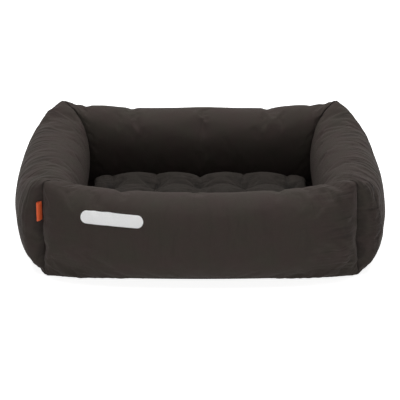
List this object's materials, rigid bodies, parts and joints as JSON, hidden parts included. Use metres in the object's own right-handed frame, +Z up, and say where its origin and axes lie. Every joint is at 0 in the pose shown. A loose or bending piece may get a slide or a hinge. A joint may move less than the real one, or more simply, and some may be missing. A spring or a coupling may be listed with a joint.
{
  "type": "orthopedic dog bed",
  "caption": "Rectangular bolster dog bed with a low front and a tufted mattress that lifts out of the well.",
  "frame": {"origin": "centre of the footprint, on the floor", "axes": "+X along the length, -Y towards the low front, +Z up"},
  "size_m": [1.001, 0.801, 0.266],
  "materials": {
    "cover_cloth": "woven twill, matt",
    "mattress_cloth": "woven, matt, tufted",
    "lining_cloth": "plain weave lining",
    "base_cloth": "coated non-slip cloth",
    "fibre_fill": "loose polyester fibre",
    "foam": "open-cell foam",
    "thread": "waxed tufting thread",
    "tab_ribbon": "orange woven ribbon",
    "patch_cloth": "white woven patch with a stitched edge",
    "zip_tape": "woven tape",
    "zip_coil": "nylon coil",
    "zip_metal": "black painted die-cast"
  },
  "bodies": {
    "rim": {"rim_cover_front": "cover_cloth", "rim_fill_front": "fibre_fill", "rim_cover_rear": "cover_cloth", "rim_fill_rear": "fibre_fill", "rim_cover_left": "cover_cloth", "rim_fill_left": "fibre_fill", "rim_cover_right": "cover_cloth", "rim_fill_right": "fibre_fill", "base_bottom": "base_cloth", "base_wadding": "fibre_fill", "base_lining": "lining_cloth", "side_tab": "tab_ribbon", "front_patch": "patch_cloth", "front_zip_tapes": "zip_tape", "front_zip_coils": "zip_coil", "front_zip_stops": "zip_coil", "rear_zip_tapes": "zip_tape", "rear_zip_coils": "zip_coil", "rear_zip_stops": "zip_coil", "left_zip_tapes": "zip_tape", "left_zip_coils": "zip_coil", "left_zip_stops": "zip_coil", "right_zip_tapes": "zip_tape", "right_zip_coils": "zip_coil", "right_zip_stops": "zip_coil"},
    "mattress": {"mattress_cover_top": "mattress_cloth", "mattress_cover_bottom": "mattress_cloth", "mattress_core": "foam", "mattress_tuft_ties": "thread", "mattress_zip_tapes": "zip_tape", "mattress_zip_coils": "zip_coil", "mattress_zip_stops": "zip_coil"},
    "front_slider": {"front_zip_slider": "zip_metal"},
    "front_pull": {"front_zip_pull": "zip_metal"},
    "rear_slider": {"rear_zip_slider": "zip_metal"},
    "rear_pull": {"rear_zip_pull": "zip_metal"},
    "left_slider": {"left_zip_slider": "zip_metal"},
    "left_pull": {"left_zip_pull": "zip_metal"},
    "right_slider": {"right_zip_slider": "zip_metal"},
    "right_pull": {"right_zip_pull": "zip_metal"},
    "mattress_slider": {"mattress_zip_slider": "zip_metal"},
    "mattress_pull": {"mattress_zip_pull": "zip_metal"}
  },
  "joints": [
    {"name": "mattress_lift", "type": "slide", "parent": "rim", "child": "mattress", "axis": [0, 0, 1], "range_m": [0, 0.3]},
    {"name": "front_zip_slide", "type": "slide", "parent": "rim", "child": "front_slider", "axis": [1, 0, 0], "range_m": [0, 0.4954]},
    {"name": "front_zip_pull_swing", "type": "hinge", "parent": "front_slider", "child": "front_pull", "pos_m": [-0.2477, -0.23455, 0.0152], "axis": [0, 0, -1], "range_deg": [0, 180]},
    {"name": "rear_zip_slide", "type": "slide", "parent": "rim", "child": "rear_slider", "axis": [-1, 0, 0], "range_m": [0, 0.4954]},
    {"name": "rear_zip_pull_swing", "type": "hinge", "parent": "rear_slider", "child": "rear_pull", "pos_m": [0.2477, 0.23455, 0.0152], "axis": [0, 0, -1], "range_deg": [0, 180]},
    {"name": "left_zip_slide", "type": "slide", "parent": "rim", "child": "left_slider", "axis": [0, -1, 0], "range_m": [0, 0.3114]},
    {"name": "left_zip_pull_swing", "type": "hinge", "parent": "left_slider", "child": "left_pull", "pos_m": [-0.32655, 0.1557, 0.0152], "axis": [0, 0, -1], "range_deg": [0, 180]},
    {"name": "right_zip_slide", "type": "slide", "parent": "rim", "child": "right_slider", "axis": [0, 1, 0], "range_m": [0, 0.3114]},
    {"name": "right_zip_pull_swing", "type": "hinge", "parent": "right_slider", "child": "right_pull", "pos_m": [0.32655, -0.1557, 0.0152], "axis": [0, 0, -1], "range_deg": [0, 180]},
    {"name": "mattress_zip_slide", "type": "slide", "parent": "mattress", "child": "mattress_slider", "axis": [1, 0, 0], "range_m": [0, 0.3434]},
    {"name": "mattress_zip_pull_swing", "type": "hinge", "parent": "mattress_slider", "child": "mattress_pull", "pos_m": [-0.1717, 0.21845, 0.0445], "axis": [0, 0, -1], "range_deg": [0, 180]}
  ]
}
